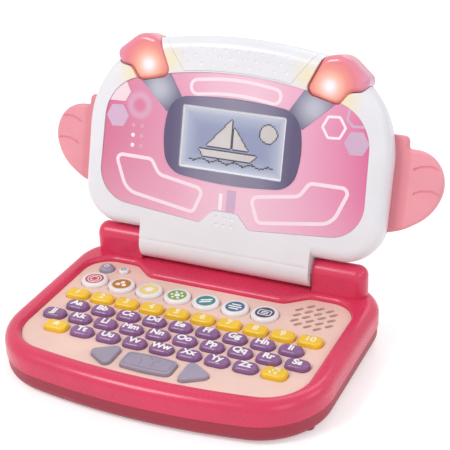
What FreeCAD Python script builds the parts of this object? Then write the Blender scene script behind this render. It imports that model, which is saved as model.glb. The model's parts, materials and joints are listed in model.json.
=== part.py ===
import FreeCAD, Part
import math
import os

# Toy laptop computer, open for play.  Millimetres, +X to the player's right, +Y to the back, +Z up.
# The base is drawn about the middle of its footprint.  The lid is drawn flat, about the hinge axis:
# x across, v up the lid, w out of its face, and is then turned up to its open angle.

V = FreeCAD.Vector

# Keys
number_row_y = 3.5
row_pitch = 12.92
key_length = 15.0
key_width = 9.7
number_key_space = 2.5
letter_key_space = 2.9
longest_row_count = 10
key_rise = 3.3
key_corner = 4.3
key_crown = 2.2
number_corner = 3.4
number_crown = 1.8
key_gap = 0.35
key_travel = 1.6
key_flange = 0.8
flange_thickness = 1.4
flange_gap = 0.2
activity_count = 7
activity_step_y = 19.6      # activity buttons behind the number row
activity_radius = 8.7
activity_space = 2.52
activity_margin = 6.05       # first activity button to the left end of the plate
activity_rise = 2.5
activity_crown = 1.5
activity_dish_radius = 6.2
activity_dish_depth = 0.4
power_margin_x = 14.55       # power button to the left end of the plate
power_step_y = 17.0
power_radius = 4.9
power_rise = 3.0
power_crown = 2.3
volume_step_x = 12.2
volume_step_y = 0.7
volume_radius = 3.3
volume_rise = 2.4
volume_crown = 1.0
pad_step_y = 17.0           # pad ahead of the last letter row
pad_half_length = 16.3
pad_half_width = 6.9
pad_bow = 1.6               # middles of the long sides outside their ends, before rounding
pad_bow_radius = 120.0
pad_rise = 2.5
pad_crown = 0.9
pad_corner = 3.2
arrow_space = 5.6           # arrows beside the pad
arrow_length = 18.6
arrow_half_height = 11.8
arrow_step_y = 0.4
arrow_corner = 3.2

# Keyboard plate, let into the top of the base
plate_side_margin = 4.6
plate_front_margin = 14.0   # plate ahead of the pad
plate_rear_margin = 17.1    # plate behind the activity buttons
plate_hump_margin = 11.6    # plate behind the power button
plate_front_bow = 13.0
plate_bow_radius = 441.0
plate_front_radius = 27.0
plate_rear_radius = 17.0
hump_round = 9.0
hump_foot_x = 47.0
hump_slant = 14.0
plate_drop = 3.4            # plate top below the rim
plate_thickness = 2.4
plate_gap = 0.25
plate_ledge = 2.6

# Base shell
side_rim = 12.35
front_rim = 12.7
base_height = 27.5
front_bow = 17.0            # how far the front edge falls back at its corners
front_bow_radius = 400.0
front_corner_radius = 45.0
rear_corner_radius = 30.0
foot_height = 1.0
seam_height = 13.5
case_wall = 3.0
floor_thickness = 2.6
rim_round = 7.0             # outer rounding of the rim
rim_inner_round = 3.0
belly_round = 6.5           # rounding under the lower shell
seam_inset = 0.7            # lower shell stands this far inside the upper one

# Speaker and its slots
speaker_space = 2.7         # speaker beside the last activity button
speaker_step_y = 8.6
speaker_radius = 16.8
speaker_rim_height = 3.0
speaker_cone_height = 3.0
speaker_cone_radius = 15.3
speaker_magnet_height = 3.0
speaker_magnet_radius = 10.2
speaker_clearance = 1.0
slot_length = 5.9
slot_width = 2.6
slot_end_round = 1.2
slot_pitch = 8.0
slot_line_pitch = 5.1
slot_lines = (2, 3, 4, 4, 3, 2)
slot_angle = 45.0

# Electronics under the keys
membrane_thickness = 1.2
board_thickness = 1.6
board_inset = 3.7
board_post_x = 60.0
board_post_front_y = -42.0
board_post_rear_y = 14.0
board_post_radius = 2.6

# Batteries, two AA cells side by side
cell_radius = 7.25
cell_length = 49.5
nub_radius = 2.75
nub_length = 1.0
cell_gap = 0.35
cell_count = 2
tray_wall = 1.6
tray_corner = 1.0
tray_space = 1.6            # free room round the tray under the upper shell
tray_ahead = 10.0           # tray ahead of the hinge axis
contact_thickness = 0.6
contact_half_width = 5.0
contact_spring_length = 1.6
contact_spring_radius = 3.0
door_thickness = 1.8
door_ledge = 1.6
door_tongue = 10.0
door_boss_radius = 3.0
door_boss_end = 1.0         # boss beyond the screw's tip
door_corner = 3.0
door_gap = 0.25

# Screws and feet
screw_radius = 1.5
screw_head_radius = 2.9
screw_head_height = 2.0
screw_recess = 8.0
screw_bite = 7.0            # thread length in the piece it holds
screw_gap = 0.1
boss_radius = 4.0
case_screw_margin = 9.5
case_screw_ys = (-46.0, 6.0, 48.0)
foot_radius = 6.5
foot_seat = 0.6
foot_margin_x = 23.0
foot_front_margin = 31.0
foot_rear_margin = 19.0

# Hinge
hinge_behind_plate = 11.3
hinge_rear_margin = 16.0    # base behind the hinge axis
closed_gap = 0.8            # face of the shut lid above the rim
lid_front = 12.2            # lid face ahead of the hinge axis
lid_tilt = 16.42            # open lid leans back from upright
block_inner_x = 60.0
block_margin = 10.8         # block end inside the base's side
block_front = 7.5           # block face ahead of the axis
block_top = 7.0             # block top above the axis
block_front_round = 8.0
block_rear_round = 6.8
block_end_round = 6.4
block_sink = 4.0
barrel_radius = 12.0
barrel_end_gap = 1.0
neck_foot = -2.5            # where the flat of the lid runs into the barrel
neck_round = 6.0
pin_radius = 3.0
pin_in_barrel = 10.0
pin_in_block = 20.0
pin_gap = 0.05
pin_press_gap = 0.02
washer_thickness = 0.8
washer_radius = 6.0

# Lid shell, heights up the lid counted from the screen centre
screen_v = 72.9
lid_side_inset = 1.8        # lid narrower than the base, each side
lid_foot_gap = 0.8          # shut lid ahead of the hinge blocks
lid_foot_radius = 26.0
lid_shoulder = 54.0
lid_shoulder_radius = 62.0
lid_crown = 67.5
lid_crown_radius = 300.0
lid_back = -9.0
lid_seam = 2.0
lid_wall = 4.0
lid_back_wall = 2.5
lid_front_round = 8.0
lid_back_round = 7.4
lid_seam_inset = 0.3
lobe_clearance = 1.0        # lid underside over the hinge blocks
cover_barrel_gap = 0.35

# Face panel in the lid
panel_recess = 0.8
panel_thickness = 2.0
panel_gap = 0.15
panel_ledge = 5.0
panel_ledge_thickness = 2.5
panel_foot_margin = 12.0    # panel inside the lid's side, low down
panel_foot = -47.5
panel_foot_radius = 22.0
panel_shoulder_margin = 14.0
panel_shoulder = 27.3
panel_shoulder_radius = 29.0
panel_crown = 52.2
panel_crown_radius = 259.0
notch_top_x = 8.3
notch_top = -44.5
notch_foot_x = 17.0
notch_foot = -53.8
notch_round = 5.0

# Screen
surround_half_width = 47.8
surround_half_height = 28.2
surround_waist_x = 43.0
surround_shoulder = 24.2
surround_corner = 15.0
surround_bow = 250.0
surround_side_bow = 60.0
surround_proud = 0.7
window_half_width = 35.5
window_half_height = 20.0
window_thickness = 1.4
window_corner = 1.2
window_gap = 0.15
lcd_border = 4.0
lcd_thickness = 4.0
stalk_inner = (33.5, 20.0)
stalk_low = (46.2, 14.0)
stalk_high = (68.5, 34.6)
stalk_top = (46.6, 40.6)
stalk_proud = 0.45
stalk_round = 0.3

# Lamps on the lid's shoulders: outline corners (x, height, rounding)
lamp_outline = (
    (44.6, 36.8, 5.2), (67.4, 31.4, 5.2), (73.6, 39.8, 6.0), (82.0, 41.2, 5.0),
    (86.0, 48.6, 5.3), (68.5, 62.8, 13.0), (55.0, 59.8, 7.5),
)
lamp_back = -5.0
lamp_front_round = 4.6
lamp_back_round = 2.5
lamp_gap = 0.3
led_x = 61.0
led_height = 43.5
led_radius = 2.5
led_length = 6.0
led_well_radius = 4.0
led_well_depth = 9.0

# Mitten hands at the lid's sides: outline corners (x beyond the lid's side, height, rounding)
hand_root_depth = 4.8       # root of the hand inside the lid's side
hand_outline_out = (
    (6.2, 17.0, 3.6), (6.8, 9.4, 1.6), (24.6, 9.6, 19.0), (31.8, -10.5, 22.5),
    (26.2, -28.8, 32.0), (8.6, -40.6, 40.0),
)
hand_root_foot = -44.6
hand_back = -7.6
hand_thickness = 6.2
hand_round = 2.2
hand_slot_gap = 0.2
crease_depth = 0.8
crease_width = 1.3
crease_radius = 18.0
crease_start = 66.0
crease_span = 58.0
crease_tops = ((21.2, 1.2), (22.6, -13.6))

# Carrying handle between the lamps
handle_foot_x = 33.0
handle_foot = 37.0
handle_top_x = 54.0
handle_top = 65.4
handle_gap = 0.15
handle_strip = 1.2          # frame strip left between the panel and the handle
handle_wall = 4.0
dimple_radius = 1.8
dimple_depth = 0.5
dimple_pitch = 8.2
dimple_heights = (47.0, 51.8, 56.6)
dimple_counts = (9, 10, 9)
notch_dimple_pitch = 5.4
notch_dimple_count = 3
notch_dimple_heights = (-48.6, -53.4)

# Lid screws (x inside the lid's side, height)
lid_screw_spots = ((9.7, -30.0), (9.7, 5.0), (38.2, -57.0))
lid_boss_radius = 3.0

# How far a cutting shape runs past what it cuts
overcut = 1.0

# Least straight run between two roundings of an outline, and the least rounding of an inset corner
least_side = 0.1
least_rounding = 0.4

# Heights and places worked out from the sizes above
number_pitch = key_length + number_key_space
letter_pitch = key_length + letter_key_space
last_row_y = number_row_y - 3 * row_pitch
pad_y = last_row_y - pad_step_y
arrow_y = pad_y + arrow_step_y
arrow_near_x = pad_half_length + arrow_space
activity_row_y = number_row_y + activity_step_y
power_y = activity_row_y + power_step_y
volume_y = power_y + volume_step_y
plate_half_width = ((longest_row_count - 1) * letter_pitch + key_length) / 2 + plate_side_margin
plate_front = pad_y - plate_front_margin
plate_rear = activity_row_y + plate_rear_margin
plate_hump_rear = power_y + plate_hump_margin
power_x = power_margin_x - plate_half_width
volume_x = power_x + volume_step_x
activity_pitch = 2 * activity_radius + activity_space
first_activity_x = activity_margin + activity_radius - plate_half_width
last_activity_x = first_activity_x + (activity_count - 1) * activity_pitch
speaker_x = last_activity_x + activity_radius + key_flange + speaker_space + speaker_radius
speaker_y = activity_row_y + speaker_step_y
hinge_y = plate_hump_rear + hinge_behind_plate
base_half_width = plate_half_width + side_rim
base_front = plate_front - front_rim
base_rear = hinge_y + hinge_rear_margin
block_outer_x = base_half_width - block_margin
lid_half_width = base_half_width - lid_side_inset
tray_y = hinge_y - tray_ahead
plate_top = base_height - plate_drop
plate_bottom = plate_top - plate_thickness
flange_top = plate_bottom - flange_gap
key_bottom = flange_top - flange_thickness
membrane_top = key_bottom - key_travel - flange_gap
board_top = membrane_top - membrane_thickness
board_bottom = board_top - board_thickness
floor_top = foot_height + floor_thickness
ceiling = plate_bottom - case_wall - plate_gap
door_top = foot_height + door_thickness
cell_axis_z = door_top + cell_gap + cell_radius
cell_pitch = 2 * cell_radius + cell_gap
tray_half_x = (cell_length + nub_length) / 2 + contact_spring_length + contact_thickness
tray_half_y = cell_count * cell_pitch / 2
tray_ceiling = cell_axis_z + cell_radius + cell_gap
hinge_z = base_height + closed_gap + lid_front
lid_foot = block_front + lid_foot_gap
barrel_end_x = block_inner_x - barrel_end_gap
lobe_radius = block_top + lobe_clearance
panel_front = lid_front - panel_recess
panel_back = panel_front - panel_thickness
frame_ceiling = panel_back - panel_ledge_thickness


# Outlines

def rounded_wire(points):
    """A closed wire through corners (x, y, rounding), with straight sides and tangent arcs."""
    starts = []
    ends = []
    middles = []
    count = len(points)
    for index, (x, y, radius) in enumerate(points):
        corner = V(x, y, 0)
        after = points[(index + 1) % count]
        back = V(points[index - 1][0], points[index - 1][1], 0) - corner
        ahead = V(after[0], after[1], 0) - corner
        back.normalize()
        ahead.normalize()
        half_angle = back.getAngle(ahead) / 2
        reach = radius / math.tan(half_angle)
        inward = (back + ahead).normalize()
        starts.append(corner + back * reach)
        ends.append(corner + ahead * reach)
        middles.append(corner + inward * (radius / math.sin(half_angle) - radius))
    edges = []
    for index in range(count):
        if points[index][2] > 0:
            edges.append(Part.Arc(starts[index], middles[index], ends[index]).toShape())
        following = starts[(index + 1) % count]
        if (following - ends[index]).Length > 1e-6:
            edges.append(Part.LineSegment(ends[index], following).toShape())
    return Part.Wire(edges)


def inset(points, distance):
    """The same anticlockwise outline with every side moved inwards, or outwards if negative."""
    count = len(points)
    result = []
    for index, (x, y, radius) in enumerate(points):
        corner = V(x, y, 0)
        after = points[(index + 1) % count]
        into = (corner - V(points[index - 1][0], points[index - 1][1], 0)).normalize()
        away = (V(after[0], after[1], 0) - corner).normalize()
        turn = into.x * away.y - into.y * away.x
        normal = V(-into.y - away.y, into.x + away.x, 0)
        spread = 1 + into.dot(away)
        moved = corner + normal * (distance / spread)
        change = -distance if turn > 0 else distance
        rounding = max(radius + change, least_rounding) if radius > 0 else 0
        result.append((moved.x, moved.y, rounding))
    return result


def corner_reach(points, index):
    """How far along its two sides the rounding of a corner runs."""
    x, y, radius = points[index]
    after = points[(index + 1) % len(points)]
    back = V(points[index - 1][0] - x, points[index - 1][1] - y, 0)
    ahead = V(after[0] - x, after[1] - y, 0)
    return radius / math.tan(back.getAngle(ahead) / 2)


def side_room(points, index):
    """The share of the roundings at both ends of a side that the side has room for."""
    following = (index + 1) % len(points)
    length = math.dist(points[index][:2], points[following][:2])
    wanted = corner_reach(points, index) + corner_reach(points, following)
    return min(1.0, (length - least_side) / wanted) if wanted > 0 else 1.0


def fitted(points):
    """The same outline with every rounding limited by the sides beside it."""
    rooms = [side_room(points, index) for index in range(len(points))]
    return [(x, y, radius * min(rooms[index - 1], rooms[index]))
            for index, (x, y, radius) in enumerate(points)]


def mirrored(right_half):
    """A whole anticlockwise outline from its right half; corners on the centre line come once."""
    left_half = [(-x, y, radius) for x, y, radius in reversed(right_half) if x > 0]
    return fitted(list(right_half) + left_half)


def flipped(points):
    return [(-x, y, radius) for x, y, radius in reversed(points)]


def raised(points, amount):
    return [(x, y + amount, radius) for x, y, radius in points]


def rectangle(x, y, half_x, half_y, radius):
    return fitted([
        (x - half_x, y - half_y, radius), (x + half_x, y - half_y, radius),
        (x + half_x, y + half_y, radius), (x - half_x, y + half_y, radius),
    ])


# Solids

def slab(points, low, high):
    solid = Part.Face(rounded_wire(points)).extrude(V(0, 0, high - low))
    solid.translate(V(0, 0, low))
    return solid


def peg(radius, x, y, low, high):
    return Part.makeCylinder(radius, high - low, V(x, y, low))


def bar(radius, low_x, high_x, y, z):
    return Part.makeCylinder(radius, high_x - low_x, V(low_x, y, z), V(1, 0, 0))


def level_edges(solid, level):
    """The edges of a solid that lie flat at one height."""
    return [e for e in solid.Edges if abs(e.BoundBox.ZMin - level) < 1e-4 and e.BoundBox.ZLength < 1e-4]


def rounded_at(solid, level, radius):
    return solid.makeFillet(radius, level_edges(solid, level))


def cut_all(solid, tools):
    return solid.cut(Part.Compound(tools)) if tools else solid


def both_sides(solid):
    return [solid, solid.mirror(V(0, 0, 0), V(1, 0, 0))]


def screw(x, y, head_low, length):
    head = peg(screw_head_radius, x, y, head_low, head_low + screw_head_height)
    shank = peg(screw_radius, x, y, head_low + screw_head_height, head_low + length)
    return head.fuse(shank)


def screw_way(x, y, head_low, length):
    """Clearance for a screw: a head recess open below and a hole for the shank."""
    recess = peg(screw_head_radius + screw_gap, x, y, head_low - 4 * screw_head_height,
                 head_low + screw_head_height)
    hole = peg(screw_radius + screw_gap, x, y, head_low, head_low + length + screw_gap)
    return recess.fuse(hole)


# Base outlines

def bowed_front(half_width, front, bow, bow_radius, corner_radius):
    """The right half of a front edge that bows forward in the middle."""
    slope = math.atan2(bow, half_width)
    tip = front - bow_radius * (1 / math.cos(slope) - 1)
    return [(0, tip, bow_radius), (half_width, tip + bow, corner_radius)]


base_outline = mirrored(
    bowed_front(base_half_width, base_front, front_bow, front_bow_radius, front_corner_radius)
    + [(base_half_width, base_rear, rear_corner_radius)])

plate_outline = mirrored(
    bowed_front(plate_half_width, plate_front, plate_front_bow, plate_bow_radius, plate_front_radius)
    + [(plate_half_width, plate_hump_rear, plate_rear_radius),
       (hump_foot_x + hump_slant, plate_hump_rear, hump_round),
       (hump_foot_x, plate_rear, hump_round)])

# Key outlines

def key_outline(x, y, corner):
    return rectangle(x, y, key_length / 2, key_width / 2, corner)


def row_y(row):
    return number_row_y - row * row_pitch


def row_xs(count, pitch):
    return [(index - (count - 1) / 2) * pitch for index in range(count)]


number_spots = [(x, row_y(0)) for x in row_xs(longest_row_count, number_pitch)]
letter_rows = {
    "letter_keys_a_to_i": [(x, row_y(1)) for x in row_xs(longest_row_count - 1, letter_pitch)],
    "letter_keys_j_to_s": [(x, row_y(2)) for x in row_xs(longest_row_count, letter_pitch)],
    "letter_keys_t_to_z": [(x, row_y(3)) for x in row_xs(longest_row_count - 1, letter_pitch)[1:-1]],
}
special_spots = {
    "smile_key": (row_xs(longest_row_count - 1, letter_pitch)[0], row_y(3)),
    "music_key": (row_xs(longest_row_count - 1, letter_pitch)[-1], row_y(3)),
}
activity_xs = [first_activity_x + index * activity_pitch for index in range(activity_count)]
activity_spots = [(x, activity_row_y) for x in activity_xs]
pad_outline = mirrored([
    (0, pad_y - pad_half_width - pad_bow, pad_bow_radius),
    (pad_half_length, pad_y - pad_half_width, pad_corner),
    (pad_half_length, pad_y + pad_half_width, pad_corner),
    (0, pad_y + pad_half_width + pad_bow, pad_bow_radius),
])
right_arrow = [
    (arrow_near_x, arrow_y - arrow_half_height, arrow_corner),
    (arrow_near_x + arrow_length, arrow_y, arrow_corner),
    (arrow_near_x, arrow_y + arrow_half_height, arrow_corner),
]

# Keys: a cap through the plate on a flange that keeps it from falling out

def cap(points, rise, crown):
    solid = slab(points, flange_top - flange_thickness / 2, plate_top + rise)
    return rounded_at(solid, plate_top + rise, crown)


def flanged(points, rise, crown):
    flange = slab(inset(points, -key_flange), key_bottom, flange_top)
    return cap(points, rise, crown).fuse(flange).removeSplitter()


def round_cap(x, y, radius, rise, crown):
    body = peg(radius, x, y, flange_top - flange_thickness / 2, plate_top + rise)
    body = rounded_at(body, plate_top + rise, crown)
    flange = peg(radius + key_flange, x, y, key_bottom, flange_top)
    return body.fuse(flange)


def activity_button(x, y):
    button = round_cap(x, y, activity_radius, activity_rise, activity_crown)
    top = plate_top + activity_rise
    return button.cut(peg(activity_dish_radius, x, y, top - activity_dish_depth, top + activity_rise))


def letter_row(spots):
    """One moulded strip: the caps of a row on a shared web under the plate."""
    first = spots[0][0] - key_length / 2 - key_flange
    last = spots[-1][0] + key_length / 2 + key_flange
    y = spots[0][1]
    outline = rectangle((first + last) / 2, y, (last - first) / 2, key_width / 2 + key_flange, key_corner)
    web = slab(outline, key_bottom, flange_top)
    caps = [cap(key_outline(x, y, key_corner), key_rise, key_crown) for x, y in spots]
    return web.multiFuse(caps).removeSplitter()


keys = {}
for index, (x, y) in enumerate(number_spots):
    keys["number_key_%d" % (index + 1)] = flanged(key_outline(x, y, number_corner), key_rise, number_crown)
for name, (x, y) in special_spots.items():
    keys[name] = flanged(key_outline(x, y, number_corner), key_rise, number_crown)
for name, spots in letter_rows.items():
    keys[name] = letter_row(spots)
for index, (x, y) in enumerate(activity_spots):
    keys["activity_button_%d" % (index + 1)] = activity_button(x, y)
keys["power_button"] = round_cap(power_x, power_y, power_radius, power_rise, power_crown)
keys["volume_button"] = round_cap(volume_x, volume_y, volume_radius, volume_rise, volume_crown)
keys["centre_pad"] = flanged(pad_outline, pad_rise, pad_crown)
keys["arrow_key_right"] = flanged(right_arrow, pad_rise, pad_crown)
keys["arrow_key_left"] = flanged(flipped(right_arrow), pad_rise, pad_crown)


# Keyboard plate, with a hole for every cap and the speaker slots

def key_holes():
    low = plate_bottom - overcut
    high = plate_top + overcut
    outlines = [key_outline(x, y, number_corner) for x, y in number_spots + list(special_spots.values())]
    for spots in letter_rows.values():
        outlines += [key_outline(x, y, key_corner) for x, y in spots]
    outlines += [pad_outline, right_arrow, flipped(right_arrow)]
    holes = [slab(inset(points, -key_gap), low, high) for points in outlines]
    rounds = [(x, y, activity_radius) for x, y in activity_spots]
    rounds += [(power_x, power_y, power_radius), (volume_x, volume_y, volume_radius)]
    holes += [peg(radius + key_gap, x, y, low, high) for x, y, radius in rounds]
    return holes


def speaker_slots():
    turn = math.radians(slot_angle)
    along = V(math.cos(turn), math.sin(turn), 0)
    across = V(math.sin(turn), -math.cos(turn), 0)
    centre = V(speaker_x, speaker_y, 0)
    slots = []
    for line, count in enumerate(slot_lines):
        middle = centre + across * ((line - (len(slot_lines) - 1) / 2) * slot_line_pitch)
        for offset in row_xs(count, slot_pitch):
            slot = slab(rectangle(0, 0, slot_length / 2, slot_width / 2, slot_end_round),
                        plate_bottom - overcut, plate_top + overcut)
            slot.rotate(V(0, 0, 0), V(0, 0, 1), slot_angle)
            slot.translate(middle + along * offset)
            slots.append(slot)
    return slots


keyboard_plate = cut_all(slab(plate_outline, plate_bottom, plate_top), key_holes() + speaker_slots())


tray_inside = rectangle(0, tray_y, tray_half_x, tray_half_y, tray_corner)
tray_outline = inset(tray_inside, -tray_wall)


# Upper shell of the base, with the two hinge blocks

def hinge_block():
    face_y = hinge_y - block_front
    rear_y = face_y + block_front_round + block_rear_round
    foot_z = base_height - block_sink
    profile = [
        (face_y, foot_z, 0), (rear_y, foot_z, 0),
        (rear_y, hinge_z + block_top, block_rear_round), (face_y, hinge_z + block_top, block_front_round),
    ]
    block = slab(profile, 0, block_outer_x - block_inner_x)
    block.rotate(V(0, 0, 0), V(1, 1, 1), 120)
    block.translate(V(block_inner_x, 0, 0))
    end_edges = [
        e for e in block.Edges
        if abs(e.BoundBox.XMin - block_outer_x) < 1e-4 and e.BoundBox.XLength < 1e-4
        and e.BoundBox.ZMax > foot_z + overcut
    ]
    block = block.makeFillet(block_end_round, end_edges)
    bore = bar(pin_radius + pin_press_gap, block_inner_x - overcut, block_inner_x + pin_in_block,
               hinge_y, hinge_z)
    return block.cut(bore)


case_screw_x = base_half_width - case_screw_margin
case_screw_spots = [(side * case_screw_x, y) for side in (-1, 1) for y in case_screw_ys]
case_screw_low = foot_height + screw_head_height
case_screw_length = seam_height - case_screw_low + screw_bite


def make_top_case():
    shell = rounded_at(slab(base_outline, seam_height, base_height), base_height, rim_round)
    shell = shell.cut(slab(inset(plate_outline, -plate_gap), plate_bottom, base_height + overcut))
    inner_rim = [
        e for e in level_edges(shell, base_height)
        if abs(e.BoundBox.XMin) < plate_half_width + overcut and e.BoundBox.XMax < plate_half_width + overcut
        and e.BoundBox.YMin > plate_front - overcut and e.BoundBox.YMax < plate_hump_rear + overcut
    ]
    shell = shell.makeFillet(rim_inner_round, inner_rim)
    room = slab(inset(base_outline, case_wall), seam_height - overcut, ceiling)
    opening = slab(inset(plate_outline, plate_ledge), ceiling - overcut, plate_bottom + overcut)
    tray_room_top = tray_ceiling + tray_wall + tray_space
    tray_room = slab(inset(tray_outline, -tray_space), ceiling - overcut, tray_room_top)
    shell = cut_all(shell, [room, opening, tray_room])
    bosses = [peg(boss_radius, x, y, seam_height, ceiling + overcut) for x, y in case_screw_spots]
    shell = shell.multiFuse(bosses + both_sides(hinge_block()))
    ways = [screw_way(x, y, case_screw_low, case_screw_length) for x, y in case_screw_spots]
    return cut_all(shell, ways).removeSplitter()


# Lower shell, with the battery opening, posts and screw bosses

door_front = tray_y - tray_half_y - door_tongue
door_rear = tray_y + tray_half_y + door_ledge
door_half_x = tray_half_x + door_ledge
door_half_y = (door_rear - door_front) / 2
door_outline = rectangle(0, door_front + door_half_y, door_half_x, door_half_y, door_corner)
door_screw_y = door_front + door_tongue / 2
door_screw_length = door_thickness + screw_bite
foot_x = base_half_width - foot_margin_x
foot_ys = (base_front + foot_front_margin, base_rear - foot_rear_margin)
foot_spots = [(side * foot_x, y) for side in (-1, 1) for y in foot_ys]
board_post_ys = (board_post_front_y, board_post_rear_y)
board_posts = [(side * board_post_x, y) for side in (-1, 1) for y in board_post_ys]


def make_bottom_case():
    shell = slab(inset(base_outline, seam_inset), foot_height, seam_height)
    shell = rounded_at(shell, foot_height, belly_round)
    room = slab(inset(base_outline, case_wall + belly_round / 2), floor_top, seam_height + overcut)
    shell = shell.cut(room)
    posts = [peg(boss_radius, x, y, floor_top - overcut, seam_height) for x, y in case_screw_spots]
    posts += [peg(board_post_radius, x, y, floor_top - overcut, board_bottom) for x, y in board_posts]
    posts.append(peg(door_boss_radius, 0, door_screw_y, floor_top - overcut,
                     foot_height + door_screw_length + door_boss_end))
    shell = shell.multiFuse(posts)
    battery_way = slab(tray_inside, 0, floor_top + overcut)
    door_seat = slab(inset(door_outline, -door_gap), 0, door_top)
    cuts = [battery_way, door_seat, screw_way(0, door_screw_y, foot_height, door_screw_length)]
    cuts += [screw_way(x, y, case_screw_low, case_screw_length) for x, y in case_screw_spots]
    cuts += [peg(foot_radius, x, y, 0, foot_height + foot_seat) for x, y in foot_spots]
    return cut_all(shell, cuts).removeSplitter()


# Pieces inside the base

def make_tray():
    outer = slab(tray_outline, floor_top, tray_ceiling + tray_wall)
    return outer.cut(slab(tray_inside, floor_top - overcut, tray_ceiling))


cell_ys = [tray_y + y for y in row_xs(cell_count, cell_pitch)]
cell_ends = [1 if index % 2 else -1 for index in range(cell_count)]


def make_cells():
    cells = []
    for y, end in zip(cell_ys, cell_ends):
        half = (cell_length + nub_length) / 2
        body = bar(cell_radius, -half, half - nub_length, y, cell_axis_z)
        cell = body.fuse(bar(nub_radius, half - nub_length - overcut, half, y, cell_axis_z))
        if end < 0:
            cell.rotate(V(0, y, cell_axis_z), V(0, 0, 1), 180)
        cells.append(cell)
    return Part.Compound(cells)


def make_contacts():
    contacts = []
    for y in cell_ys:
        for end in (-1, 1):
            plate_x = tray_half_x - contact_thickness
            corner = V(plate_x, y - contact_half_width, cell_axis_z - contact_half_width)
            plate = Part.makeBox(contact_thickness, 2 * contact_half_width, 2 * contact_half_width, corner)
            spring = bar(contact_spring_radius, plate_x - contact_spring_length,
                         plate_x + contact_thickness / 2, y, cell_axis_z)
            contact = plate.fuse(spring)
            if end < 0:
                contact = contact.mirror(V(0, 0, 0), V(1, 0, 0))
            contacts.append(contact)
    return Part.Compound(contacts)


board_outline = inset(plate_outline, board_inset)
speaker_clear = peg(speaker_radius + speaker_clearance, speaker_x, speaker_y, floor_top, base_height)
key_membrane = slab(board_outline, board_top, membrane_top).cut(speaker_clear)
main_circuit_board = slab(board_outline, board_bottom, board_top).cut(speaker_clear)


def make_speaker():
    rim_low = plate_bottom - speaker_rim_height
    cone_low = rim_low - speaker_cone_height
    rim = peg(speaker_radius, speaker_x, speaker_y, rim_low, plate_bottom)
    cone = Part.makeCone(speaker_magnet_radius, speaker_cone_radius, speaker_cone_height,
                         V(speaker_x, speaker_y, cone_low))
    magnet = peg(speaker_magnet_radius, speaker_x, speaker_y, cone_low - speaker_magnet_height, cone_low)
    return rim.multiFuse([cone, magnet]).removeSplitter()


battery_door = slab(door_outline, foot_height, door_top).cut(
    screw_way(0, door_screw_y, foot_height, door_screw_length))
battery_door_screw = screw(0, door_screw_y, foot_height, door_screw_length)
case_screws = Part.Compound([screw(x, y, case_screw_low, case_screw_length) for x, y in case_screw_spots])
rubber_feet = Part.Compound([
    rounded_at(peg(foot_radius - screw_gap, x, y, 0, foot_height + foot_seat), 0, foot_seat)
    for x, y in foot_spots])


# Hinge pins and friction washers

pin = bar(pin_radius, barrel_end_x - pin_in_barrel, block_inner_x + pin_in_block - pin_gap, hinge_y, hinge_z)
washer_x = barrel_end_x + (barrel_end_gap - washer_thickness) / 2
washer_end = washer_x + washer_thickness
washer = bar(washer_radius, washer_x, washer_end, hinge_y, hinge_z).cut(
    bar(pin_radius + pin_press_gap, washer_x - overcut, washer_end + overcut, hinge_y, hinge_z))
hinge_pins = Part.Compound(both_sides(pin))
hinge_washers = Part.Compound(both_sides(washer))

# Lid outlines, flat on the lid

lid_outline = mirrored([
    (lid_half_width, lid_foot, lid_foot_radius),
    (lid_half_width, screen_v + lid_shoulder, lid_shoulder_radius),
    (0, screen_v + lid_crown, lid_crown_radius)])

panel_outline = raised(mirrored([
    (notch_top_x, notch_top, notch_round), (notch_foot_x, notch_foot, notch_round),
    (lid_half_width - panel_foot_margin, panel_foot, panel_foot_radius),
    (lid_half_width - panel_shoulder_margin, panel_shoulder, panel_shoulder_radius),
    (0, panel_crown, panel_crown_radius)]), screen_v)

surround_outline = raised(mirrored([
    (0, -surround_half_height, surround_bow),
    (surround_waist_x, -surround_shoulder, surround_corner),
    (surround_half_width, 0, surround_side_bow),
    (surround_waist_x, surround_shoulder, surround_corner),
    (0, surround_half_height, surround_bow)]), screen_v)

right_lamp = fitted(raised(lamp_outline, screen_v))
stalk_corners = (stalk_inner, stalk_low, stalk_high, stalk_top)
right_stalk = raised([(x, height, 0.0) for x, height in stalk_corners], screen_v)
hand_root_x = lid_half_width - hand_root_depth
hand_root_top = hand_outline_out[0][1]
right_hand = fitted(raised(
    [(hand_root_x, hand_root_foot, 0.0)]
    + [(lid_half_width + x, height, radius) for x, height, radius in reversed(hand_outline_out)]
    + [(hand_root_x, hand_root_top, 0.0)], screen_v))
handle_wedge = raised(mirrored([
    (handle_foot_x, handle_foot, 0.0),
    (handle_top_x, handle_top, 0.0),
    (handle_top_x, lid_crown + lid_wall, 0.0)]), screen_v)
window_outline = rectangle(0, screen_v, window_half_width, window_half_height, window_corner)
lid_screws_right = [(lid_half_width - x, screen_v + height) for x, height in lid_screw_spots]
lid_screw_at = lid_screws_right + [(-x, v) for x, v in lid_screws_right]
lid_screw_low = lid_back + screw_head_height
lid_screw_length = lid_seam - lid_screw_low + screw_bite


def to_open(solid):
    """Turns a flat-drawn lid piece up to the open lid and carries it to the hinge."""
    placed = solid.copy()
    placed.rotate(V(0, 0, 0), V(1, 0, 0), 90 - lid_tilt)
    placed.translate(V(0, hinge_y, hinge_z))
    return placed


def front_block():
    return rounded_at(slab(lid_outline, lid_seam, lid_front), lid_front, lid_front_round)


def back_block():
    back = slab(inset(lid_outline, lid_seam_inset), lid_back, lid_seam)
    return rounded_at(back, lid_back, lid_back_round)


def handle_space(margin):
    """The room of the handle, between the lamps and above the face panel."""
    wedge = slab(inset(handle_wedge, -margin), lid_back - overcut, lid_front + overcut)
    below = inset(panel_outline, margin - handle_strip)
    return wedge.cut(slab(below, lid_back - 2 * overcut, lid_front + 2 * overcut))


def dimple(x, v):
    return Part.makeSphere(dimple_radius, V(x, v, lid_front + dimple_radius - dimple_depth))


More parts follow.
